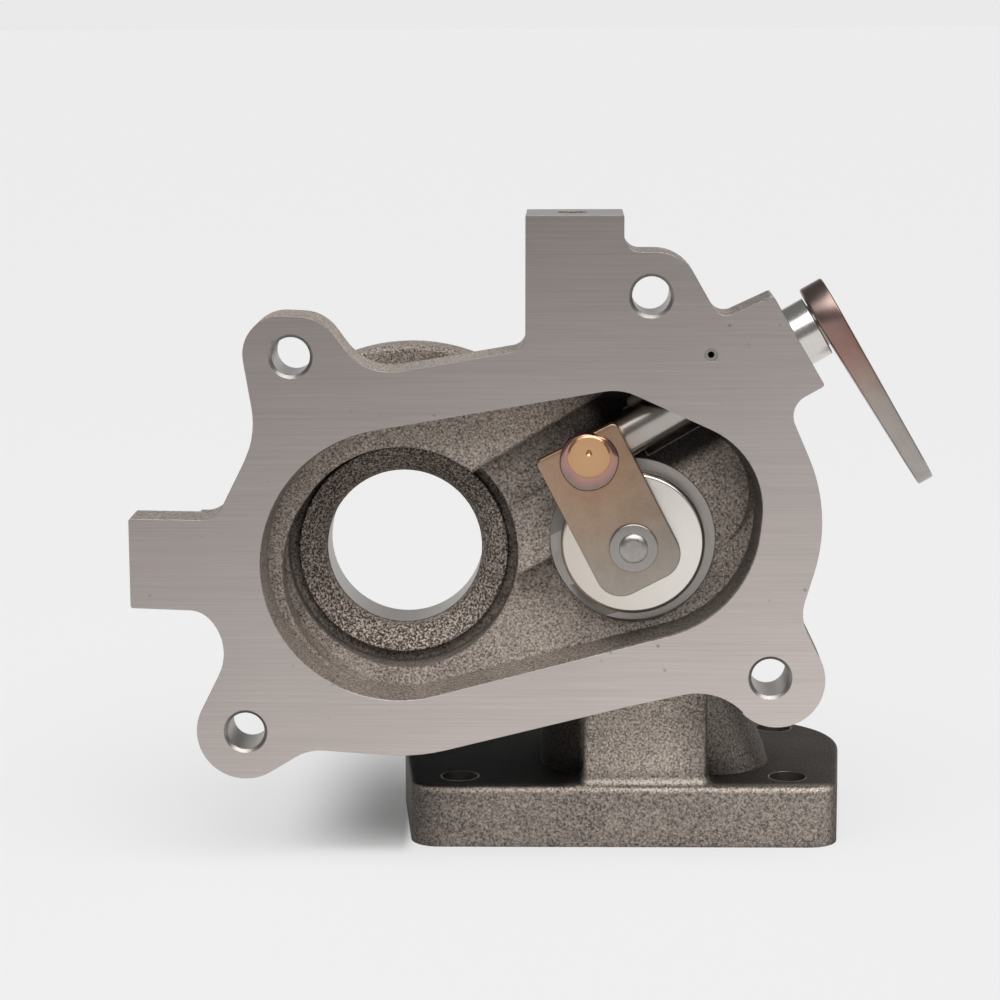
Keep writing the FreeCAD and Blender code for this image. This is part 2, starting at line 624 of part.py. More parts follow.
def main():
    os.makedirs("parts", exist_ok=True)
    save("housing_casting", casting())
    save("wastegate_bush", bush())
    save("bush_lock_pin", lock_pin())
    save("wastegate_shaft", shaft())
    save("shaft_arm_weld", arm_weld())
    save("valve_arm", arm())
    save("wastegate_valve", valve())
    save("valve_washer", washer())
    save("actuator_lever", lever())
    save("lever_weld", lever_weld())
    for name, shape in PARTS.items():
        box = shape.BoundBox
        print(name, shape.ShapeType, len(shape.Solids), shape.isValid(), round(shape.Volume, 1),
              [round(v, 1) for v in (box.XMin, box.YMin, box.ZMin, box.XMax, box.YMax, box.ZMax)])


main()
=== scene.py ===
"""Looks of a cast turbine housing with its internal wastegate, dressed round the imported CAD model.

The casting keeps its CAD mesh and gets one material of several zones. The turned, welded and
plate pieces of the wastegate are surfaces worked out with numpy and stand for their CAD nodes.
Lengths in this script are millimetres, as in the part's own source, until a mesh is written;
only the studio's floor and lamps are given in metres.
"""

import logging
import math
from dataclasses import dataclass, field
from enum import Enum
from typing import Any, Callable, Union

import bpy
import numpy as np
from mathutils import Matrix, Vector
from mathutils.geometry import tessellate_polygon


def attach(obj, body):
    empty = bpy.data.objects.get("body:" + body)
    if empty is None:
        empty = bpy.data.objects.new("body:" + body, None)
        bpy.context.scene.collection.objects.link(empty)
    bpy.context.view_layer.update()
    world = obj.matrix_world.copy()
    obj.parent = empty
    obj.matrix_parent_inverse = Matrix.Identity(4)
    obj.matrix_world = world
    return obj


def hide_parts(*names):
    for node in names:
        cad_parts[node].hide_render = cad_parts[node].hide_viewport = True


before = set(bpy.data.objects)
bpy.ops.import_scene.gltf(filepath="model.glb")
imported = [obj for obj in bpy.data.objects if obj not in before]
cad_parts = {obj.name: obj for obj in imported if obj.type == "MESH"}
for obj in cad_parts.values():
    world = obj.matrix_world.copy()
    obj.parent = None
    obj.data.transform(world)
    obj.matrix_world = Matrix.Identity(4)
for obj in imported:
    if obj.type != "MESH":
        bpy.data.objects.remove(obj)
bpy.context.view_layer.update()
LOG = logging.getLogger("turbine_housing")
MM = 0.001
TURN = 2.0 * math.pi

# Planes of the casting, its axes along Y as (x, z), and radii about them.
OUTLET_Y = -48.0
REAR_Y = 17.0
SEAT_Y = -35.5
PAD_TOP = 152.2
SIDE_PAD_X = -114.7
FOOT_T = 15.0
TURBINE = (-52.3, 72.0)
TURBINE_BORE_R = 18.4
BACK_BORE_R = 29.5
REGISTER_R = 34.0
RING_R = 24.6
VALVE = (1.7, 75.6)
SEAT_R = 19.25
OUTLET_HOLES = ((-76.6, 120.3), (5.5, 134.0), (33.4, 45.3), (-88.6, 32.3))
OUTLET_HOLE_R = 5.1
FOOT_HOLE = (39.6, 23.5)
FOOT_HOLE_R = 4.5

# The wastegate shaft from its bend, its bush, and the stub and arm at the bend.
BEND = (-8.6, 95.7)
STUB_RISE = 1.4
STUB = (BEND[0], BEND[1] + STUB_RISE)
SHAFT_Y = -37.5
SHAFT_ANGLE = math.radians(30.0)
SHAFT_DIR = (math.cos(SHAFT_ANGLE), 0.0, math.sin(SHAFT_ANGLE))
BUSH_R = 7.3
BOSS_FACE = 55.2
ARM_Y = -45.9
ARM_T = 3.2


# Shader maths.
Colour = tuple[float, float, float]


class Sock:
    """An output socket that is used like a number: each operator adds one Math node."""

    def __init__(self, nodes: "Nodes", socket: bpy.types.NodeSocket | None) -> None:
        """Keep the socket and the nodes that new ones are added to."""
        self.nodes = nodes
        self.socket = socket

    def _math(self, operation: str, first: "Term", second: "Term" = 0.0) -> "Sock":
        """Add a Math node of two inputs."""
        return self.nodes.node("ShaderNodeMath", {"operation": operation}, {0: first, 1: second})

    def __add__(self, other: "Term") -> "Sock":
        """Sum."""
        return self._math("ADD", self, other)

    __radd__ = __add__

    def __mul__(self, other: "Term") -> "Sock":
        """Product."""
        return self._math("MULTIPLY", self, other)

    __rmul__ = __mul__

    def __sub__(self, other: "Term") -> "Sock":
        """Difference."""
        return self._math("SUBTRACT", self, other)

    def __rsub__(self, other: "Term") -> "Sock":
        """Difference with the number first."""
        return self._math("SUBTRACT", other, self)

    def __truediv__(self, other: "Term") -> "Sock":
        """Quotient."""
        return self._math("DIVIDE", self, other)

    def __abs__(self) -> "Sock":
        """Absolute value."""
        return self._math("ABSOLUTE", self)

    def root(self) -> "Sock":
        """Square root."""
        return self._math("SQRT", self)

    def larger(self, other: "Term") -> "Sock":
        """The larger of two values."""
        return self._math("MAXIMUM", self, other)

    def ramp(self, low: float, high: float) -> "Sock":
        """Smooth step.

        Args:
            low: value at which the result is 0.
            high: value at which the result is 1. It may be below low, which turns the step round.

        Returns:
            0 to 1, smooth in between.
        """
        falls = high < low
        ends = {"From Min": min(low, high), "From Max": max(low, high),
                "To Min": float(falls), "To Max": float(not falls)}
        return self.nodes.node("ShaderNodeMapRange", {"interpolation_type": "SMOOTHSTEP"},
                               {"Value": self, **ends})

    def band(self, low: float, low_full: float, high_full: float, high: float) -> "Sock":
        """1 between the two full values, falling smoothly to 0 at the outer two."""
        return self.ramp(low, low_full) * self.ramp(high, high_full)

    def within(self, radius: float) -> "Sock":
        """1 where a distance is inside a bore of that radius or on its wall."""
        return self.ramp(radius + 0.2, radius + 0.1)


Term = Union[Sock, float, int]


class Nodes:
    """A node tree with one method that adds any node, and short names for common ones."""

    def __init__(self, tree: bpy.types.NodeTree) -> None:
        """Keep the tree and empty it."""
        self.tree = tree
        self.tree.nodes.clear()

    def node(self, kind: str, settings: dict[str, Any] | None = None,
             inputs: dict[Any, Any] | None = None, output: Any = 0) -> Sock:
        """Add a node.

        Args:
            kind: the node's type.
            settings: its properties, set first. "stops" is a list of (place, colour) for a ramp.
            inputs: values or links by socket name or number.
            output: name or number of the socket that is returned.

        Returns:
            The chosen output, empty for a node that has none.
        """
        made = self.tree.nodes.new(kind)
        for key, value in (settings or {}).items():
            if key == "stops":
                elements = made.color_ramp.elements
                while len(elements) < len(value):
                    elements.new(0.5)
                for element, (place, colour) in zip(elements, value):
                    element.position = place
                    element.color = (*colour, 1.0)
            else:
                setattr(made, key, value)
        for key, value in (inputs or {}).items():
            if isinstance(value, Sock):
                self.tree.links.new(value.socket, made.inputs[key])
            elif isinstance(value, tuple) and len(made.inputs[key].default_value) == 4:
                made.inputs[key].default_value = (*value, 1.0)
            else:
                made.inputs[key].default_value = value
        return Sock(self, made.outputs[output] if len(made.outputs) else None)

    def split(self, vector: Sock) -> tuple[Sock, Sock, Sock]:
        """The three parts of a vector."""
        x, y, z = self.node("ShaderNodeSeparateXYZ", inputs={0: vector}).socket.node.outputs
        return Sock(self, x), Sock(self, y), Sock(self, z)

    def join(self, x: Term, y: Term, z: Term) -> Sock:
        """A vector of three values."""
        return self.node("ShaderNodeCombineXYZ", inputs={0: x, 1: y, 2: z})

    def vector(self, operation: str, first: Any, second: Any = (0.0, 0.0, 0.0),
               scale: float = 1.0, output: int = 0) -> Sock:
        """Add a Vector Math node.

        Args:
            operation: its operation.
            first: first vector.
            second: second vector.
            scale: factor for SCALE.
            output: 0 for the vector, 1 for the value.

        Returns:
            The chosen output.
        """
        return self.node("ShaderNodeVectorMath", {"operation": operation},
                         {0: first, 1: second, 3: scale}, output)

    def blend(self, share: Term, first: Any, second: Any) -> Sock:
        """Mix two colours: first at share 0, second at share 1."""
        return self.node("ShaderNodeMix", {"data_type": "RGBA", "clamp_factor": True},
                         {0: share, 6: first, 7: second}, 2)

    def shade(self, colour: Any, factor: Term) -> Sock:
        """A colour times a grey factor."""
        grey = self.join(factor, factor, factor)
        return self.node("ShaderNodeMix", {"data_type": "RGBA", "blend_type": "MULTIPLY"},
                         {0: 1.0, 6: colour, 7: grey}, 2)


class Shader(Nodes):
    """Nodes of one material, with the place in millimetres and the normal as inputs."""

    def __init__(self, name: str) -> None:
        """Start an empty material.

        Args:
            name: the material's name.
        """
        self.material = bpy.data.materials.new(name)
        self.material.use_nodes = True
        super().__init__(self.material.node_tree)
        self.place = self.vector("SCALE", self.node("ShaderNodeTexCoord", output="Object"), scale=1000.0)
        self.x, self.y, self.z = self.split(self.place)
        self.nx, self.ny, self.nz = self.split(self.node("ShaderNodeTexCoord", output="Normal"))

    def noise(self, scale: float, detail: float = 2.0, at: Sock | None = None,
              rough: float = 0.5) -> Sock:
        """Noise with that many features per millimetre, about 0 to 1."""
        return self.node("ShaderNodeTexNoise", inputs={
            "Vector": at or self.place, "Scale": scale, "Detail": detail, "Roughness": rough})

    def cells(self, scale: float, at: Sock | None = None) -> Sock:
        """Distance to the nearest of scattered points, with that many cells per millimetre."""
        return self.node("ShaderNodeTexVoronoi", inputs={"Vector": at or self.place, "Scale": scale})

    def from_axis(self, x: float, z: float) -> Sock:
        """Distance from a line along Y.

        Args:
            x: the line's place across, in millimetres.
            z: its height, in millimetres.

        Returns:
            The distance in millimetres.
        """
        dx = self.x - x
        dz = self.z - z
        return (dx * dx + dz * dz).root()

    def on_shaft(self) -> tuple[Sock, Sock]:
        """Where a point lies on the wastegate shaft.

        Returns:
            Its station along the shaft from the bend, and its distance from the shaft's axis.
        """
        from_bend = self.vector("SUBTRACT", self.place, (BEND[0], SHAFT_Y, BEND[1]))
        station = self.vector("DOT_PRODUCT", from_bend, SHAFT_DIR, output=1)
        reach = self.vector("LENGTH", from_bend, output=1)
        return station, (reach * reach - station * station).larger(0.0).root()

    def flat(self, axis: int, plane: float, way: int) -> Sock:
        """Mask of a flat face.

        Args:
            axis: 0, 1 or 2 for the axis that crosses it.
            plane: its place on that axis.
            way: 1 where it faces along the axis and -1 where it faces against it.

        Returns:
            1 on the face and 0 elsewhere.
        """
        value = (self.x, self.y, self.z)[axis]
        normal = (self.nx, self.ny, self.nz)[axis]
        return value.ramp(plane - 0.15 * way, plane - 0.05 * way) * normal.ramp(0.7 * way, 0.9 * way)

    def bump(self, height: Sock, depth: float, under: Sock | None = None) -> Sock:
        """Bumped normal.

        Args:
            height: 0 to 1.
            depth: millimetres from 0 to 1.
            under: normal that it starts from.

        Returns:
            The normal.
        """
        inputs = {"Height": height, "Distance": depth * MM, "Strength": 1.0}
        if under is not None:
            inputs["Normal"] = under
        return self.node("ShaderNodeBump", inputs=inputs)

    def soft_edges(self, radius: float) -> Sock:
        """Normal that rounds sharp edges by that radius in millimetres."""
        return self.node("ShaderNodeBevel", {"samples": 4}, {"Radius": radius * MM})

    def metal(self, **inputs: Any) -> Sock:
        """A Principled shader of these sockets, given with _ for a space."""
        return self.node("ShaderNodeBsdfPrincipled",
                         inputs={name.replace("_", " "): value for name, value in inputs.items()})

    def finish(self, surface: Sock) -> bpy.types.Material:
        """Join the surface to the output and return the material."""
        self.node("ShaderNodeOutputMaterial", inputs={"Surface": surface})
        return self.material


class Lay(Enum):
    """Which way the tool marks of a steel finish run."""

    ROUND_Y = "round an axis along Y"
    ROUND_SHAFT = "round the wastegate shaft"
    ALONG_LEVER = "along the lever"
    NONE = "no set way"


@dataclass(frozen=True)
class CastIron:
    """Sand-cast iron with ground and bored faces."""

    light: Colour = (0.80, 0.69, 0.60)
    dark: Colour = (0.075, 0.060, 0.052)
    ground: Colour = (0.62, 0.555, 0.525)
    bored: Colour = (0.40, 0.37, 0.345)
    grain: float = 1.8
    grain_depth: float = 0.26
    coarse: float = 1.7
    skin_round: float = 1.1
    edge_round: float = 0.25
    skin_rough: float = 0.40
    # Extra roughness where painted shade darkens the raw skin.
    rough_in_painted_shade: float = 0.4
    ground_rough: float = 0.30
    skin_metal: float = 0.62
    ground_metal: float = 0.98
    # Painted reflection on the ground face, per millimetre: darker upwards, lighter to the right.
    painted_reflection_down: float = 0.0040
    painted_reflection_right: float = 0.0018

    def material(self) -> bpy.types.Material:
        """Build the casting's material.

        Returns:
            The material.
        """
        s = Shader("cast_iron_machined")
        from_turbine = s.from_axis(*TURBINE)
        face, machined = self.zones(s)
        raw = 1.0 - machined
        coarse = from_turbine.ramp(RING_R + 0.6, RING_R - 0.2) * s.y.ramp(-25.0, -26.0)
        # Broad painted light and shade on the raw skin.
        painted_light_and_shade = self.painted_light_and_shade(s, coarse)
        skin, height, fine = self.skin(s, coarse, painted_light_and_shade)
        ground, marks = self.grinding(s)
        turned = s.noise(1.0, at=s.join(from_turbine * 2.0, s.y * 2.0, s.from_axis(*VALVE) * 2.0))
        bored = s.shade(self.bored, turned * 0.3 + 0.8)
        colour = s.blend(machined, skin, s.blend(face, bored, ground))
        grain = height * (coarse * (self.coarse - 1.0) + 1.0)
        relief = grain * raw + (marks * 0.05 + turned * 0.04) * machined
        skin_rough = (1.0 - painted_light_and_shade).larger(0.0) * self.rough_in_painted_shade + fine * 0.14 + self.skin_rough
        return s.finish(s.metal(
            Base_Color=colour,
            Metallic=machined * (self.ground_metal - self.skin_metal) + self.skin_metal,
            Roughness=skin_rough * raw + (marks * 0.12 + self.ground_rough) * machined,
            Normal=s.bump(relief, self.grain_depth, self.edges(s, machined))))

    def edges(self, s: Shader, machined: Sock) -> Sock:
        """Normal that rounds cast edges well and machined ones a little."""
        return s.node("ShaderNodeMix", {"data_type": "VECTOR"}, {
            0: machined, 4: s.soft_edges(self.skin_round), 5: s.soft_edges(self.edge_round)}, 1)

    @staticmethod
    def zones(s: Shader) -> tuple[Sock, Sock]:
        """Where the casting was machined.

        Args:
            s: the material's nodes.

        Returns:
            Masks of the ground outlet face alone, and of every machined face and bore.
        """
        from_turbine = s.from_axis(*TURBINE)
        station, from_shaft = s.on_shaft()
        hole_x = abs(s.x) - FOOT_HOLE[0]
        hole_y = abs(s.y) - FOOT_HOLE[1]
        from_foot_hole = (hole_x * hole_x + hole_y * hole_y).root()
        face = s.flat(1, OUTLET_Y, -1)
        places = [
            s.flat(1, REAR_Y, 1) * from_turbine.ramp(50.0, 49.0),
            s.flat(2, 0.0, -1),
            s.flat(2, PAD_TOP, 1),
            s.flat(0, SIDE_PAD_X, -1),
            station.ramp(BOSS_FACE - 0.2, BOSS_FACE - 0.1) * s.y.ramp(-20.0, -24.0),
            s.from_axis(*VALVE).within(SEAT_R) * s.y.ramp(-23.0, -24.0),
            from_turbine.within(TURBINE_BORE_R) * s.y.ramp(-24.9, -24.6),
            from_turbine.within(BACK_BORE_R) * s.y.ramp(-12.6, -12.4),
            from_turbine.within(REGISTER_R) * s.y.ramp(13.3, 13.4),
            from_shaft.within(BUSH_R) * station.ramp(11.5, 12.0),
            from_foot_hole.within(FOOT_HOLE_R) * s.z.ramp(FOOT_T + 0.2, FOOT_T + 0.1)]
        places += [s.from_axis(x, z).within(OUTLET_HOLE_R) for x, z in OUTLET_HOLES]
        machined = face
        for place in places:
            machined = machined.larger(place)
        return face, machined

    def skin(self, s: Shader, coarse: Sock, painted_light_and_shade: Sock) -> tuple[Sock, Sock, Sock]:
        """Raw casting skin: sand grains on slow waves, lighter on their tops (partly grain tone, partly a
        painted highlight), with painted shade in hollows.

        Args:
            s: the material's nodes.
            coarse: mask of the stretch with the coarsest grain.
            painted_light_and_shade: grey factor of the broad tones.

        Returns:
            Its colour, its height from 0 to about 2, and the fine noise in it.
        """
        grains = s.cells(self.grain)
        fine = s.noise(self.grain, 4.0, rough=0.72)
        stains = s.noise(0.05, 4.0, rough=0.6)
        height = fine * 1.5 + grains * 0.55 + s.noise(0.12, 2.0) * 1.5
        light = (fine - 0.5) * (coarse * 4.2 + 2.7) + (stains - 0.5) * 0.4 + 0.42 - coarse * 0.10
        # Ambient occlusion paints shade into hollows and under overhangs.
        near = s.node("ShaderNodeAmbientOcclusion", {"samples": 4}, {"Distance": 7.0 * MM}, "AO")
        wide = s.node("ShaderNodeAmbientOcclusion", {"samples": 4}, {"Distance": 40.0 * MM}, "AO")
        shade = (near.ramp(0.05, 0.75) * 0.45 + 0.55) * (wide.ramp(0.02, 0.42) * 0.8 + 0.2)
        return s.shade(s.blend(light, self.dark, self.light), shade * painted_light_and_shade), height, fine

    @staticmethod
    def painted_light_and_shade(s: Shader, coarse: Sock) -> Sock:
        """Broad painted light and shade on the raw skin: painted shadow in covered hollows, painted
        highlights on open rims and on faces towards the light.

        Each tone is a mask and a change: the grey is the product of (1 + mask change) over them.

        Args:
            s: the material's nodes.
            coarse: mask of the ring round the turbine bore.

        Returns:
            A grey factor near 1.
        """
        station, from_shaft = s.on_shaft()
        recess = s.y.ramp(OUTLET_Y + 0.2, OUTLET_Y + 2.0)
        foot_top = s.nz.ramp(0.5, 0.9) * s.z.band(FOOT_T - 3.0, FOOT_T - 1.0, FOOT_T + 7.0, FOOT_T + 12.0)
        foot_top = foot_top * (s.x.ramp(-10.0, -16.0) * 0.76 + 1.0)
        foot_end = s.z.ramp(FOOT_T + 1.0, FOOT_T) * s.x.ramp(-38.0, -52.0)
        foot_rim = s.z.band(FOOT_T - 1.8, FOOT_T - 0.2, FOOT_T + 0.5, FOOT_T + 2.0) * s.y.ramp(-29.0, -32.0)
        behind_neck = s.z.band(FOOT_T - 0.4, FOOT_T + 0.4, 33.0, 38.0) * s.y.ramp(-46.0, -40.0)
        neck_front = s.ny.ramp(-0.3, -0.8) * s.z.band(16.0, 20.0, 44.0, 50.0)
        right_wall = s.nx.ramp(-0.2, -0.7) * s.x.ramp(14.0, 20.0)
        low_wall = s.ny.ramp(-0.9, -0.5) * s.z.ramp(76.0, 68.0) * s.x.ramp(-10.0, 2.0)
        low_wall = low_wall * s.from_axis(*VALVE).ramp(19.0, 22.0)
        under_shaft = s.y.ramp(-41.0, -38.0) * station.band(3.0, 8.0, 36.0, 44.0)
        shelf = s.y.ramp(-34.0, -36.0) * s.z.ramp(88.0, 96.0) * s.x.ramp(-10.0, -20.0)
        # Each tone paints shade (a negative change) or light (a positive change) into the colour.
        tones = (
            (foot_top, -0.5),
            (foot_end, -0.5),
            (foot_rim, 2.4),
            (behind_neck * s.x.ramp(-8.5, -11.0), -0.8),
            (neck_front * s.x.band(-14.0, -9.0, 10.0, 22.0), 0.65),
            (right_wall.larger(low_wall) * recess, -0.6),
            (under_shaft * from_shaft.ramp(15.0, 11.0), -0.9),
            (shelf * recess, 0.25),
            (coarse * s.z.ramp(66.0, 50.0), 0.4))
        factor: Term = 1.0
        for mask, change in tones:
            factor = (mask * change + 1.0) * factor
        return factor

    def grinding(self, s: Shader) -> tuple[Sock, Sock]:
        """Ground face: long fine marks from side to side, a few pits, and a painted reflection that makes
        it darker towards the upper left.

        Args:
            s: the material's nodes.

        Returns:
            Its colour and the marks.
        """
        marks = s.noise(1.0, 4.0, at=s.join(s.x * 0.03, s.y * 0.2, s.z * 4.2), rough=0.7)
        bands = s.noise(1.0, 2.0, at=s.join(s.x * 0.012, 0.0, s.z * 0.35))
        tone = s.noise(0.02, 2.0)
        pits = s.cells(0.16).ramp(0.10, 0.04) * s.noise(0.9).ramp(0.48, 0.56)
        # Painted reflection: darker upwards and towards the left.
        painted_reflection = (1.0 - (s.z - 35.0) * self.painted_reflection_down) * (1.0 + (s.x + 10.0) * self.painted_reflection_right)
        factor = (marks * 0.52 + bands * 0.08 + tone * 0.14 + 0.64) * painted_reflection * (1.0 - pits * 0.35)
        return s.shade(self.ground, factor), marks


@dataclass(frozen=True)
class Steel:
    """A steel finish with tool marks and, where it was welded, heat tint; on the flap its tint is a painted
    highlight.
    """

    name: str
    colour: Colour
    roughness: float = 0.3
    lay: Lay = Lay.NONE
    centre: tuple[float, float] = VALVE
    marks: float = 2.0
    mark_depth: float = 0.006
    mark_tone: float = 0.2
    tint: tuple[tuple[float, Colour], ...] = ()
    tint_centre: tuple[float, float, float] = (STUB[0], ARM_Y, STUB[1])
    tint_reach: float = 40.0
    blotches: float = 0.12
    edge: float = 0.0

    def material(self) -> bpy.types.Material:
        """Build the material.

        Returns:
            The material.
        """
        s = Shader(self.name)
        if self.lay is Lay.ROUND_Y:
            r = s.from_axis(*self.centre)
            along = s.join(r * self.marks, s.y * self.marks, 0.0)
        elif self.lay is Lay.ROUND_SHAFT:
            station, r = s.on_shaft()
            along = s.join(r * self.marks, station * self.marks, 0.0)
        elif self.lay is Lay.ALONG_LEVER:
            station, r = s.on_shaft()
            along = s.join(station * self.marks, s.y * self.marks, r * self.marks * 0.04)
        else:
            along = s.place
        marks = s.noise(1.0, 3.0, at=along, rough=0.6)
        blotch = s.noise(0.25, 3.0)
        colour: Any = self.colour
        if self.tint:
            gap = s.vector("SUBTRACT", s.place, self.tint_centre)
            reach = s.vector("LENGTH", gap, output=1) + (blotch - 0.5) * 6.0
            colour = s.node("ShaderNodeValToRGB", {"stops": list(self.tint)},
                            {0: reach / self.tint_reach})
        colour = s.shade(colour, marks * self.mark_tone + blotch * self.blotches
                         + (1.0 - 0.5 * self.mark_tone - 0.5 * self.blotches))
        under = s.soft_edges(self.edge) if self.edge else None
        return s.finish(s.metal(
            Base_Color=colour, Metallic=1.0,
            Roughness=marks * 0.1 + blotch * 0.06 + (self.roughness - 0.08),
            Normal=s.bump(marks, self.mark_depth, under)))


# Surfaces.
def to_shaft() -> Matrix:
    """Place of a shape that is turned about local Z and belongs on the wastegate shaft.

    Returns:
        Matrix with its origin at the shaft's bend and Z along the shaft.
    """
    side = Vector((-SHAFT_DIR[2], 0.0, SHAFT_DIR[0]))
    along = Vector(SHAFT_DIR)
    across = side.cross(along)
    turned = Matrix((across, side, along)).transposed().to_4x4()
    return Matrix.Translation((BEND[0], SHAFT_Y, BEND[1])) @ turned


def to_front(x: float, z: float) -> Matrix:
    """Matrix that takes a shape turned about local Z to an axis along -Y through (x, z)."""
    turned = Matrix(((1.0, 0.0, 0.0), (0.0, 0.0, -1.0), (0.0, 1.0, 0.0))).to_4x4()
    return Matrix.Translation((x, 0.0, z)) @ turned


def new_piece(name: str, points: np.ndarray, faces: list[tuple[int, ...]], place: Matrix,
              material: bpy.types.Material, sharp: float = 35.0) -> bpy.types.Object:
    """Write a mesh in the object's own frame.

    Args:
        name: the piece's name.
        points: (n, 3) array in millimetres, in the local frame of place.
        faces: index tuples, outward by the right-hand rule.
        place: local to object frame, in millimetres.
        material: its finish.
        sharp: edges that turn more than this many degrees stay sharp.

    Returns:
        The linked object, at the origin.
    """
    mesh = bpy.data.meshes.new(name)
    mesh.from_pydata((points * MM).tolist(), [], faces)
    moved = place.copy()
    moved.translation = place.translation * MM
    mesh.transform(moved)
    mesh.validate()
    mesh.shade_smooth()
    mesh.set_sharp_from_angle(angle=math.radians(sharp))
    mesh.materials.append(material)
    piece = bpy.data.objects.new(name, mesh)
    bpy.context.scene.collection.objects.link(piece)
    return piece


def rounded(corners: list[tuple[float, float, float]], steps: int = 4) -> np.ndarray:
    """Profile with rounded corners.

    Each corner (r, h, radius) becomes a quadratic curve between the two points that lie
    radius away from it on its two sides: (1-t)^2 a + 2t(1-t) corner + t^2 b.

    Args:
        corners: places and rounding, in order.
        steps: points on each rounded corner, less one.

    Returns:
        (n, 2) array.
    """
    spots = np.array([c[:2] for c in corners], float)
    points: list[np.ndarray] = []
    for i, (_, _, radius) in enumerate(corners):
        if radius <= 0.0 or i in (0, len(corners) - 1):
            points.append(spots[i][None])
            continue
        before = spots[i - 1] - spots[i]
        after = spots[i + 1] - spots[i]
        a = spots[i] + before / np.linalg.norm(before) * radius
        b = spots[i] + after / np.linalg.norm(after) * radius
        t = np.linspace(0.0, 1.0, steps + 1)[:, None]
        points.append((1 - t) ** 2 * a + 2 * t * (1 - t) * spots[i] + t ** 2 * b)
    return np.vstack(points)


def lathe(profile: np.ndarray, segments: int = 96,
          shape: Callable[[np.ndarray, np.ndarray], tuple[np.ndarray, np.ndarray]] | None = None,
          loop: bool = False) -> tuple[np.ndarray, list[tuple[int, ...]]]:
    """Surface of revolution about Z.

    A profile point (r, h) becomes (r cos a, r sin a, h) for angles a round the circle; shape
    may shift r and h at each place first. Ends on the axis close in one point.

    Args:
        profile: (n, 2) radii and heights, from the top down on the outside.
        segments: steps round the circle.
        shape: function of the (n, segments) grids of profile number and angle that gives what is
            added to r and to h.
        loop: True joins the profile's end to its start.

    Returns:
        Points and faces.
    """
    angles = np.arange(segments) / segments * TURN
    rows = np.arange(len(profile))
    row_grid, angle_grid = np.meshgrid(rows, angles, indexing="ij")
    r = np.repeat(profile[:, :1], segments, axis=1)
    h = np.repeat(profile[:, 1:], segments, axis=1)
    if shape is not None:
        dr, dh = shape(row_grid, angle_grid)
        r, h = r + dr, h + dh
    points = np.stack([r * np.cos(angle_grid), r * np.sin(angle_grid), h], axis=-1).reshape(-1, 3)
    index = np.arange(len(points)).reshape(len(profile), segments)
    for row, at_axis in ((0, profile[0, 0] < 1e-6), (-1, profile[-1, 0] < 1e-6)):
        if at_axis and not loop:
            index[row] = index[row, 0]
    if loop:
        index = np.vstack([index, index[:1]])
    beside = np.roll(index, -1, axis=1)
    quads = np.stack([index[:-1], index[1:], beside[1:], beside[:-1]], axis=-1).reshape(-1, 4)
    used, corners = np.unique(quads, return_inverse=True)
    return points[used], [tuple(dict.fromkeys(q)) for q in corners.reshape(-1, 4).tolist()]


def tangent_outline(circles: list[tuple[float, float, float]],
                    step: float = 6.0) -> tuple[np.ndarray, np.ndarray]:
    """Outline round circles and their common tangents.

    Args:
        circles: (u, v, r), anticlockwise.
        step: degrees between the points on each arc.

    Returns:
        (n, 2) points and their outward unit normals.
    """
    count = len(circles)
    turns = []
    for i in range(count):
        u0, v0, r0 = circles[i]
        u1, v1, r1 = circles[(i + 1) % count]
        along = math.atan2(v1 - v0, u1 - u0)
        lean = math.asin((r0 - r1) / math.hypot(u1 - u0, v1 - v0))
        turns.append(along - math.pi / 2 + lean)
    points, normals = [], []
    for i, (u, v, r) in enumerate(circles):
        first = turns[i - 1]
        sweep = (turns[i] - first) % TURN
        a = first + np.linspace(0.0, sweep, max(2, int(math.degrees(sweep) / step) + 1))
        normal = np.stack([np.cos(a), np.sin(a)], axis=-1)
        points.append(np.array([u, v]) + r * normal)
        normals.append(normal)
    return np.vstack(points), np.vstack(normals)


def circle_outline(u: float, v: float, r: float, count: int = 64) -> tuple[np.ndarray, np.ndarray]:
    """Outline of a round hole.

    Args:
        u: its centre along the plate.
        v: its centre across the plate.
        r: its radius.
        count: how many points it has.

    Returns:
        (n, 2) clockwise points, and the unit normals that point into the hole.
    """
    a = -np.arange(count) / count * TURN
    normal = np.stack([np.cos(a), np.sin(a)], axis=-1)
    return np.array([u, v]) + r * normal, -normal


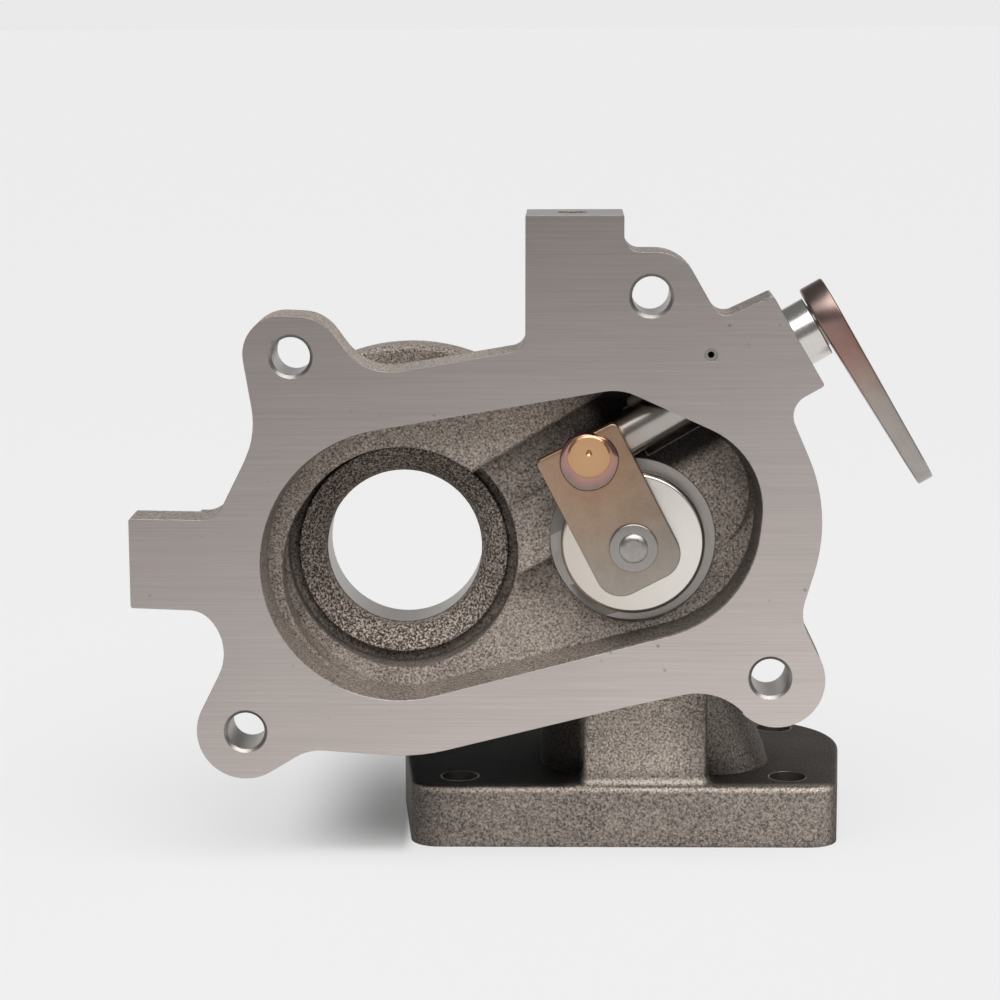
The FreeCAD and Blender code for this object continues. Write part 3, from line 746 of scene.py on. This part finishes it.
def plate(outlines: list[tuple[np.ndarray, np.ndarray]], thickness: float, edge: float,
          steps: int = 3) -> tuple[np.ndarray, list[tuple[int, ...]]]:
    """Flat plate with rounded rims and holes.

    A rim point is the outline's point moved inwards by edge (1 - cos t) at the height
    edge (1 - sin t) from the plate's nearer face, t from 0 at the wall to a right angle.

    Args:
        outlines: points and outward normals, the outer one anticlockwise, then the holes.
        thickness: from local Z 0 up.
        edge: rounding of the rims.
        steps: rows on each rounded rim.

    Returns:
        Points and faces.
    """
    t = np.linspace(math.pi / 2, 0.0, steps + 1)
    inset = np.concatenate([edge * (1 - np.cos(t)), edge * (1 - np.cos(t[::-1]))])
    height = np.concatenate([thickness - edge * (1 - np.sin(t)), edge * (1 - np.sin(t[::-1]))])
    points, faces, tops, ends, start = [], [], [], [], 0
    for outline, normal in outlines:
        ring = outline[None] - normal[None] * inset[:, None, None]
        rise = np.repeat(height[:, None], len(outline), axis=1)
        points.append(np.concatenate([ring, rise[..., None]], axis=-1).reshape(-1, 3))
        index = start + np.arange(ring.shape[0] * len(outline)).reshape(ring.shape[0], -1)
        beside = np.roll(index, -1, axis=1)
        faces += np.stack([index[:-1], index[1:], beside[1:], beside[:-1]], axis=-1).reshape(-1, 4).tolist()
        tops.append(index[0])
        ends.append(index[-1])
        start = index[-1, -1] + 1
    cloud = np.vstack(points)
    pressed = cloud * (1.0, 1.0, 0.0)
    for loops, up in ((tops, True), (ends, False)):
        filled = tessellate_polygon([pressed[loop].tolist() for loop in loops])
        triangles = np.concatenate(loops)[np.array(filled)]
        (ux, uy), (vx, vy) = ((cloud[triangles[:, k], :2] - cloud[triangles[:, 0], :2]).T for k in (1, 2))
        turned = (ux * vy - uy * vx > 0) != up
        triangles[turned] = triangles[turned][:, [0, 2, 1]]
        faces += triangles.tolist()
    return cloud, [tuple(f) for f in faces]


# The pieces.
@dataclass
class Housing:
    """The casting, its bush and the bush's locking pin."""

    iron: CastIron = field(default_factory=CastIron)
    bush_bore_r: float = 5.25
    bush_from: float = 27.0
    bush_to: float = 60.6

    def build(self) -> list[bpy.types.Object]:
        """Dress the casting and the pin, and turn the bush.

        Returns:
            The pieces.
        """
        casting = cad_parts["housing_casting"]
        casting.data.materials.clear()
        casting.data.materials.append(self.iron.material())
        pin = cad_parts["bush_lock_pin"]
        pin.data.materials.clear()
        pin.data.materials.append(Steel("pin_steel", (0.33, 0.31, 0.29), 0.35).material())
        return [casting, pin, self.bush()]

    def bush(self) -> bpy.types.Object:
        """Turn the bush as a closed ring profile with rounded ends.

        Returns:
            The piece.
        """
        bore, top, low = self.bush_bore_r, self.bush_to, self.bush_from
        outside = rounded([(bore + 0.1, top, 0), (BUSH_R, top, 0.35), (BUSH_R, low, 0.35),
                           (bore + 0.1, low, 0)])
        inside = rounded([(bore, low + 0.3, 0), (bore, top - 0.3, 0)])
        points, faces = lathe(np.vstack([outside, inside]), 128, loop=True)
        finish = Steel("turned_bush", (0.72, 0.685, 0.655), 0.2, Lay.ROUND_SHAFT, marks=3.0,
                       mark_tone=0.12)
        piece = new_piece("turned_bush", points, faces, to_shaft(), finish.material())
        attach(piece, "housing")
        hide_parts("wastegate_bush")
        return piece


@dataclass
class Crank:
    """The wastegate shaft, its arm, the outer lever and their welds."""

    weld_in: float = 4.8
    weld_out: float = 7.0
    weld_high: float = 1.4
    weld_uneven: float = 0.15
    weld_bulge: float = 2.2
    arm_above: float = 5.5
    arm_below: float = 32.2
    arm_left: float = 11.1
    arm_right: float = 9.6
    arm_top_r: float = 1.5
    arm_tip_r: float = 6.0
    lever_from: float = 61.0
    lever_t: float = 5.7
    lever_taper: float = 1.9
    eye_r: float = 9.2
    tip_r: float = 6.5
    reach: float = 37.4
    rod_r: float = 3.05
    shaft_r: float = 5.2
    ring_w: float = 1.5
    ring_deep: float = 1.5
    ring_proud: float = 0.05
    ring_ripples: int = 30

    def build(self) -> list[bpy.types.Object]:
        """Build and dress the crank's pieces.

        Returns:
            The pieces.
        """
        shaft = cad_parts["wastegate_shaft"]
        shaft.data.materials.clear()
        shaft.data.materials.append(self.shaft_finish())
        return [shaft, self.weld(), self.arm(), self.lever(), self.lever_weld()]

    def shaft_finish(self) -> bpy.types.Material:
        """Ground steel that turns straw and copper near the weld.

        Returns:
            The material.
        """
        tint = ((0.0, (0.62, 0.40, 0.21)), (0.14, (0.60, 0.34, 0.19)), (0.22, (0.40, 0.34, 0.30)),
                (0.40, (0.44, 0.41, 0.38)))
        return Steel("shaft_steel", (0.45, 0.42, 0.39), 0.24, Lay.ROUND_SHAFT, marks=2.5, tint=tint,
                     edge=0.3).material()

    def weld(self) -> bpy.types.Object:
        """Weld bead round the stub, thicker below it.

        Seen from the stub's axis the bead reaches to a circle of radius R whose centre lies e
        lower: rho = sqrt(R^2 - e^2 cos^2 a) - e sin a. Across the bead, from share s = 0 at the
        stub to 1 at its foot, r = in + s (rho - in) and h = high (1 - s^p)^(1/p). A flat base
        and the stub's wall close it.

        Returns:
            The piece.
        """
        bulge = self.weld_bulge
        arc = np.sin(np.linspace(0.0, math.pi / 2, 14))
        share = np.append(arc, 0.0)
        crown = np.append((1.0 - arc ** bulge) ** (1 / bulge), 0.0) * self.weld_high
        profile = np.stack([np.full(len(share), self.weld_in), crown], axis=-1)

        def bead(row: np.ndarray, angle: np.ndarray) -> tuple[np.ndarray, np.ndarray]:
            """Reach and unevenness of the bead, with the slight ripples of its pool.

            Args:
                row: profile numbers.
                angle: angles round the stub.

            Returns:
                What is added to r and to h.
            """
            s = share[row]
            waves = (2.0 * np.sin(angle * 3 + 0.6) + np.sin(angle * 7 + 2.0)) / 3.0 - 1.0
            rho = np.sqrt(self.weld_out ** 2 - (STUB_RISE * np.cos(angle)) ** 2) - STUB_RISE * np.sin(angle)
            rho = rho + self.weld_uneven * waves
            uneven = crown[row] * 0.08 * (np.sin(angle * 2 + 4.0) - 1.0)
            ripple = 0.035 * np.sin(s * 5.0 + 1.5 * np.sin(angle + 1.0)) * np.sin(s * math.pi)
            return s * (rho - self.weld_in), uneven + ripple

        points, faces = lathe(profile, 192, bead, loop=True)
        tint = ((0.0, (0.50, 0.30, 0.20)), (0.12, (0.46, 0.27, 0.20)), (0.15, (0.40, 0.235, 0.215)),
                (0.19, (0.27, 0.20, 0.18)))
        finish = Steel("weld_bead", (0.5, 0.33, 0.24), 0.17, tint=tint, blotches=0.25)
        piece = new_piece("weld_bead", points, faces,
                          Matrix.Translation((0.0, ARM_Y, 0.0)) @ to_front(*STUB), finish.material(), 60)
        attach(piece, "crank")
        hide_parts("shaft_arm_weld")
        return piece

    def arm(self) -> bpy.types.Object:
        """Arm plate, square above the stub and rounded below the flap's stem.

        Returns:
            The piece.
        """
        lower_v, upper_v = -self.arm_below + self.arm_tip_r, self.arm_above - self.arm_top_r
        outline = tangent_outline([
            (-self.arm_left + self.arm_tip_r, lower_v, self.arm_tip_r),
            (self.arm_right - self.arm_tip_r, lower_v, self.arm_tip_r),
            (self.arm_right - self.arm_top_r, upper_v, self.arm_top_r),
            (-self.arm_left + self.arm_top_r, upper_v, self.arm_top_r)])
        points, faces = plate([outline], ARM_T, 0.35)
        line = Vector((VALVE[0] - BEND[0], 0.0, VALVE[1] - BEND[1])).normalized()
        across = Vector((-line.z, 0.0, line.x))
        turned = Matrix((across, -line, Vector((0.0, -1.0, 0.0)))).transposed().to_4x4()
        place = Matrix.Translation((BEND[0], ARM_Y + ARM_T, BEND[1])) @ turned
        tint = ((0.0, (0.42, 0.26, 0.17)), (0.2, (0.40, 0.26, 0.175)), (0.45, (0.38, 0.285, 0.215)),
                (0.75, (0.37, 0.325, 0.28)))
        finish = Steel("arm_plate", (0.36, 0.3, 0.25), 0.36, tint=tint, blotches=0.3)
        piece = new_piece("arm_plate", points, faces, place, finish.material())
        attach(piece, "crank")
        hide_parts("valve_arm")
        return piece

    def lever(self) -> bpy.types.Object:
        """Lever plate with its eye on the shaft and the rod's hole near its tip.

        The inner face leans towards the outer one: z grows by taper (u / length) (1 - z / t).

        Returns:
            The piece.
        """
        outline = tangent_outline([(0.0, 0.0, self.eye_r), (self.reach, 0.0, self.tip_r)])
        holes = [circle_outline(0.0, 0.0, self.shaft_r), circle_outline(self.reach, 0.0, self.rod_r)]
        points, faces = plate([outline, *holes], self.lever_t, 0.5)
        lean = np.clip(points[:, 0] / (self.reach + self.tip_r), 0.0, 1.0) * self.lever_taper
        points[:, 2] += lean * (1.0 - points[:, 2] / self.lever_t)
        side = Vector((-SHAFT_DIR[2], 0.0, SHAFT_DIR[0]))
        along = Vector(SHAFT_DIR)
        down = -side
        turned = Matrix((down, along.cross(down), along)).transposed().to_4x4()
        start = Vector((BEND[0], SHAFT_Y, BEND[1])) + along * self.lever_from
        tint = ((0.0, (0.20, 0.17, 0.155)), (0.16, (0.24, 0.18, 0.16)), (0.32, (0.33, 0.19, 0.165)),
                (0.45, (0.36, 0.25, 0.215)), (0.6, (0.40, 0.35, 0.31)), (1.0, (0.42, 0.385, 0.36)))
        eye = start + along * self.lever_t / 2 + side * 6.0
        finish = Steel("lever_plate", (0.40, 0.36, 0.33), 0.32, Lay.ALONG_LEVER, marks=2.0, tint=tint,
                       tint_centre=tuple(eye), tint_reach=46.0, blotches=0.2)
        piece = new_piece("lever_plate", points, faces, Matrix.Translation(start) @ turned,
                          finish.material())
        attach(piece, "crank")
        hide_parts("actuator_lever")
        return piece

    def lever_weld(self) -> bpy.types.Object:
        """Weld ring between the shaft's end and the lever's eye, with the ripples of its pool.

        Returns:
            The piece.
        """
        top = self.lever_from + self.lever_t
        low = top - self.ring_deep
        high = top + self.ring_proud
        inner, outer = self.shaft_r - 0.3, self.shaft_r + self.ring_w
        profile = rounded([(inner, low + 0.1, 0), (inner, high, 0.2), (outer - 0.1, high, 0.5),
                           (outer, top - 0.4, 0), (self.shaft_r + 0.1, low, 0)], 5)

        def ripple(row: np.ndarray, angle: np.ndarray) -> tuple[np.ndarray, np.ndarray]:
            """Dips round the outer face, deepest on the profile's middle rows.

            Args:
                row: profile numbers.
                angle: angles round the shaft.

            Returns:
                What is added to r and to h.
            """
            share = np.exp(-((row - 6.0) / 3.0) ** 2)
            return 0.0 * row, -0.06 * share * (1 + np.sin(angle * self.ring_ripples))

        points, faces = lathe(profile, 192, ripple, loop=True)
        finish = Steel("lever_weld_ring", (0.34, 0.25, 0.21), 0.25, blotches=0.4)
        piece = new_piece("lever_weld_ring", points, faces, to_shaft(), finish.material(), 60)
        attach(piece, "crank")
        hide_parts("lever_weld")
        return piece


@dataclass
class Flap:
    """The wastegate flap with its riveted stem, and the washer."""

    disc_r: float = 16.8
    disc_t: float = 5.0
    disc_edge: float = 0.8
    seat_gap: float = 0.05
    stem_r: float = 3.0
    rivet_r: float = 3.5
    rivet_high: float = 0.83
    rivet_slope: float = 1.1
    head_rows: int = 8
    dent: float = 0.06
    collar_r: float = 5.5
    washer_r: float = 5.65
    washer_t: float = 1.0
    play: float = 0.1

    def build(self) -> list[bpy.types.Object]:
        """Turn the flap and the washer.

        Returns:
            The pieces.
        """
        return [self.disc(), self.washer()]

    def disc(self) -> bpy.types.Object:
        """Flap, collar, stem and riveted head in one profile, whose heights are -Y.

        Returns:
            The piece.
        """
        back = -(SEAT_Y - self.seat_gap)
        front = back + self.disc_t
        collar = -(ARM_Y + ARM_T + self.play)
        head = -(ARM_Y - self.play - self.washer_t)
        r, e = self.disc_r, self.disc_edge
        profile = rounded([
            (0.0, head + self.rivet_high, 0),
            (self.rivet_r - self.rivet_slope, head + self.rivet_high, 0.6),
            (self.rivet_r, head + 0.15, 0.5), (self.rivet_r, head, 0.1),
            (self.stem_r, head, 0), (self.stem_r, collar, 0),
            (self.collar_r, collar, 0.2), (self.collar_r, front, 0.25), (r - e, front, 0.35),
            (r, front - e, 0.3), (r, back + e, 0.3), (r - e, back, 0.3), (0.0, back, 0)], 4)

        def hammered(row: np.ndarray, angle: np.ndarray) -> tuple[np.ndarray, np.ndarray]:
            """Slight dents round the riveted head, on its first rows but the pole.

            Args:
                row: profile numbers.
                angle: angles round the stem.

            Returns:
                What is added to r and to h.
            """
            on_head = (row > 0) & (row < self.head_rows)
            depth = 0.5 + 0.5 * np.sin(angle * 3 + 1.0) * np.sin(angle * 5 + 0.4)
            return -self.dent * on_head * depth, 0.0 * row

        points, faces = lathe(profile, 160, hammered)
        peened = Steel("peened_rivet", (0.40, 0.37, 0.345), 0.34, marks=1.6, mark_depth=0.05,
                       mark_tone=0.35, blotches=0.3)
        # On the flap the tint ramp is a painted highlight, palest at its right edge.
        tint = ((0.0, (0.86, 0.82, 0.77)), (0.4, (0.80, 0.755, 0.70)), (0.9, (0.68, 0.62, 0.55)))
        painted_highlight_side = (VALVE[0] + self.disc_r, ARM_Y, VALVE[1])
        finish = Steel("polished_flap", (0.80, 0.755, 0.70), 0.24, Lay.ROUND_Y, marks=2.2,
                       mark_tone=0.16, tint=tint, tint_centre=painted_highlight_side, tint_reach=36.0,
                       blotches=0.06)
        piece = new_piece("flap_and_stem", points, faces, to_front(*VALVE), finish.material())
        piece.data.materials.append(peened.material())
        top = np.array([points[list(f), 2].mean() for f in faces]) > head + 0.02
        piece.data.polygons.foreach_set("material_index", top.astype(np.int32))
        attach(piece, "valve")
        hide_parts("wastegate_valve")
        return piece

    def washer(self) -> bpy.types.Object:
        """Washer under the riveted head, its outer corner rounded.

        Returns:
            The piece.
        """
        base = -(ARM_Y - self.play)
        top = base + self.washer_t
        hole = self.stem_r + 0.02
        profile = rounded([(hole, top, 0), (self.washer_r, top, 0.4), (self.washer_r, base, 0.15),
                           (hole, base, 0)], 4)
        points, faces = lathe(profile, 96, loop=True)
        finish = Steel("washer_steel", (0.36, 0.335, 0.31), 0.3, Lay.ROUND_Y, marks=2.5, blotches=0.2)
        piece = new_piece("stem_washer", points, faces, to_front(*VALVE), finish.material())
        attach(piece, "valve")
        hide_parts("valve_washer")
        return piece


# Stage.
@dataclass(frozen=True)
class Studio:
    """Pale floor, soft light and the photograph's camera."""

    pale: float = 0.86
    horizon: float = 0.955
    floor_glow: float = 0.75
    glow_lost: float = 0.6
    floor_bounce: float = 0.32
    floor_size: float = 60.0
    ambient: float = 0.24
    room: float = 0.22
    sun: float = 2.45
    sun_spread: float = 60.0
    sun_way: tuple[float, float, float] = (-0.22, 0.55, -1.0)
    box_watts: float = 2.4
    box_size: tuple[float, float] = (0.9, 0.5)
    box_place: tuple[float, float, float] = (-0.35, -0.75, 0.95)
    box_aim: tuple[float, float, float] = (0.0, -0.02, 0.08)
    eye: tuple[float, float, float] = (-13.43087, -680.37457, 197.83128)
    lens: float = 100.8
    sensor: float = 36.0
    focal_px: float = 2800.0
    pitch_px: float = 490.0
    yaw_px: float = 70.0
    roll: float = math.radians(0.25)

    def build(self) -> None:
        """Make the floor, the world, the lamps and the camera."""
        self.floor()
        self.world()
        self.lamps()
        self.camera()
        bpy.context.scene.view_settings.view_transform = "Standard"

    def floor(self) -> None:
        """Large plain floor under the foot.

        Where it is seen, part of its paleness is a glow of its own, so that the shadow stays
        soft. Next to the foot's left end the glow is weaker and the shadow deeper.
        """
        half = self.floor_size / 2
        mesh = bpy.data.meshes.new("floor")
        mesh.from_pydata([(-half, -half, 0), (half, -half, 0), (half, half, 0), (-half, half, 0)], [],
                         [(0, 1, 2, 3)])
        floor = bpy.data.objects.new("floor", mesh)
        bpy.context.scene.collection.objects.link(floor)
        s = Shader("floor_pale")
        seen = self.seen(s).larger(s.node("ShaderNodeLightPath", output="Is Glossy Ray"))
        colour = s.blend(seen, (self.floor_bounce,) * 3, (self.pale,) * 3)
        lit = s.node("ShaderNodeBsdfDiffuse", inputs={"Color": colour})
        glow = s.node("ShaderNodeEmission", inputs={"Color": (self.pale,) * 3, "Strength": 1.0})
        near = s.x.ramp(-88.0, -57.0) * s.x.ramp(-50.0, -54.0) * s.y.band(-42.0, -30.0, 40.0, 140.0)
        share = seen * (self.floor_glow - near * self.glow_lost)
        mesh.materials.append(s.finish(s.node("ShaderNodeMixShader", inputs={0: share, 1: lit, 2: glow})))

    @staticmethod
    def seen(s: Nodes) -> Sock:
        """1 where the camera looks, straight or through glass."""
        return s.node("ShaderNodeLightPath", output="Is Camera Ray").larger(
            s.node("ShaderNodeLightPath", output="Is Transmission Ray"))

    def world(self) -> None:
        """Pale for the camera; in metal pale near the back horizon and dim above and in front."""
        world = bpy.data.worlds.new("studio")
        world.use_nodes = True
        bpy.context.scene.world = world
        s = Nodes(world.node_tree)
        _, toward_back, upward = s.split(s.node("ShaderNodeTexCoord", output="Generated"))
        lit = toward_back.ramp(-0.3, 0.3) * upward.ramp(0.5, 0.15)
        mirrored = s.node("ShaderNodeLightPath", output="Is Glossy Ray")
        seen = self.seen(s)
        shown = mirrored * (lit * (1.0 - self.room) + self.room) * self.pale
        plain = (1.0 - seen.larger(mirrored)) * self.ambient
        strength = seen * (self.pale * self.horizon) + shown + plain
        light = s.node("ShaderNodeBackground", inputs={"Color": (1.0, 1.0, 1.0), "Strength": strength})
        s.node("ShaderNodeOutputWorld", inputs={"Surface": light})

    def lamps(self) -> None:
        """A broad sun from above and a soft box in front."""
        sun = bpy.data.lights.new("overhead", "SUN")
        sun.energy = self.sun
        sun.angle = math.radians(self.sun_spread)
        top = bpy.data.objects.new("overhead", sun)
        top.rotation_euler = Vector(self.sun_way).to_track_quat("-Z", "Y").to_euler()
        bpy.context.scene.collection.objects.link(top)
        box = bpy.data.lights.new("soft_box", "AREA")
        box.energy = self.box_watts
        box.shape = "RECTANGLE"
        box.size, box.size_y = self.box_size
        lamp = bpy.data.objects.new("soft_box", box)
        lamp.location = self.box_place
        way = Vector(self.box_aim) - lamp.location
        lamp.rotation_euler = way.to_track_quat("-Z", "Y").to_euler()
        bpy.context.scene.collection.objects.link(lamp)

    def camera(self) -> None:
        """Camera at the photograph's place: its three axes from the pitch, the yaw and a slight roll."""
        pitch = math.atan(self.pitch_px / self.focal_px)
        yaw = math.atan(self.yaw_px / self.focal_px * math.cos(pitch))
        right = Vector((math.cos(yaw), math.sin(yaw), 0.0))
        level = Vector((-math.sin(yaw), math.cos(yaw), 0.0))
        ahead = level * math.cos(pitch) - Vector((0.0, 0.0, math.sin(pitch)))
        down = ahead.cross(right)
        turned = math.cos(self.roll) * right + math.sin(self.roll) * down
        fall = math.cos(self.roll) * down - math.sin(self.roll) * right
        data = bpy.data.cameras.new("camera")
        data.lens, data.sensor_width = self.lens, self.sensor
        data.clip_start, data.clip_end = 0.01, 200.0
        camera = bpy.data.objects.new("camera", data)
        axes = Matrix((turned, -fall, -ahead)).transposed().to_4x4()
        camera.matrix_world = Matrix.Translation(Vector(self.eye) * MM) @ axes
        bpy.context.scene.collection.objects.link(camera)
        bpy.context.scene.camera = camera


def main() -> None:
    """Build the stage and each sub-assembly."""
    logging.basicConfig(level=logging.INFO, format="%(message)s")
    Studio().build()
    for assembly in (Housing(), Crank(), Flap()):
        for piece in assembly.build():
            LOG.info("%s: %s, %d faces", type(assembly).__name__, piece.name, len(piece.data.polygons))
    bpy.context.view_layer.update()


if __name__ == "__main__":
    main()
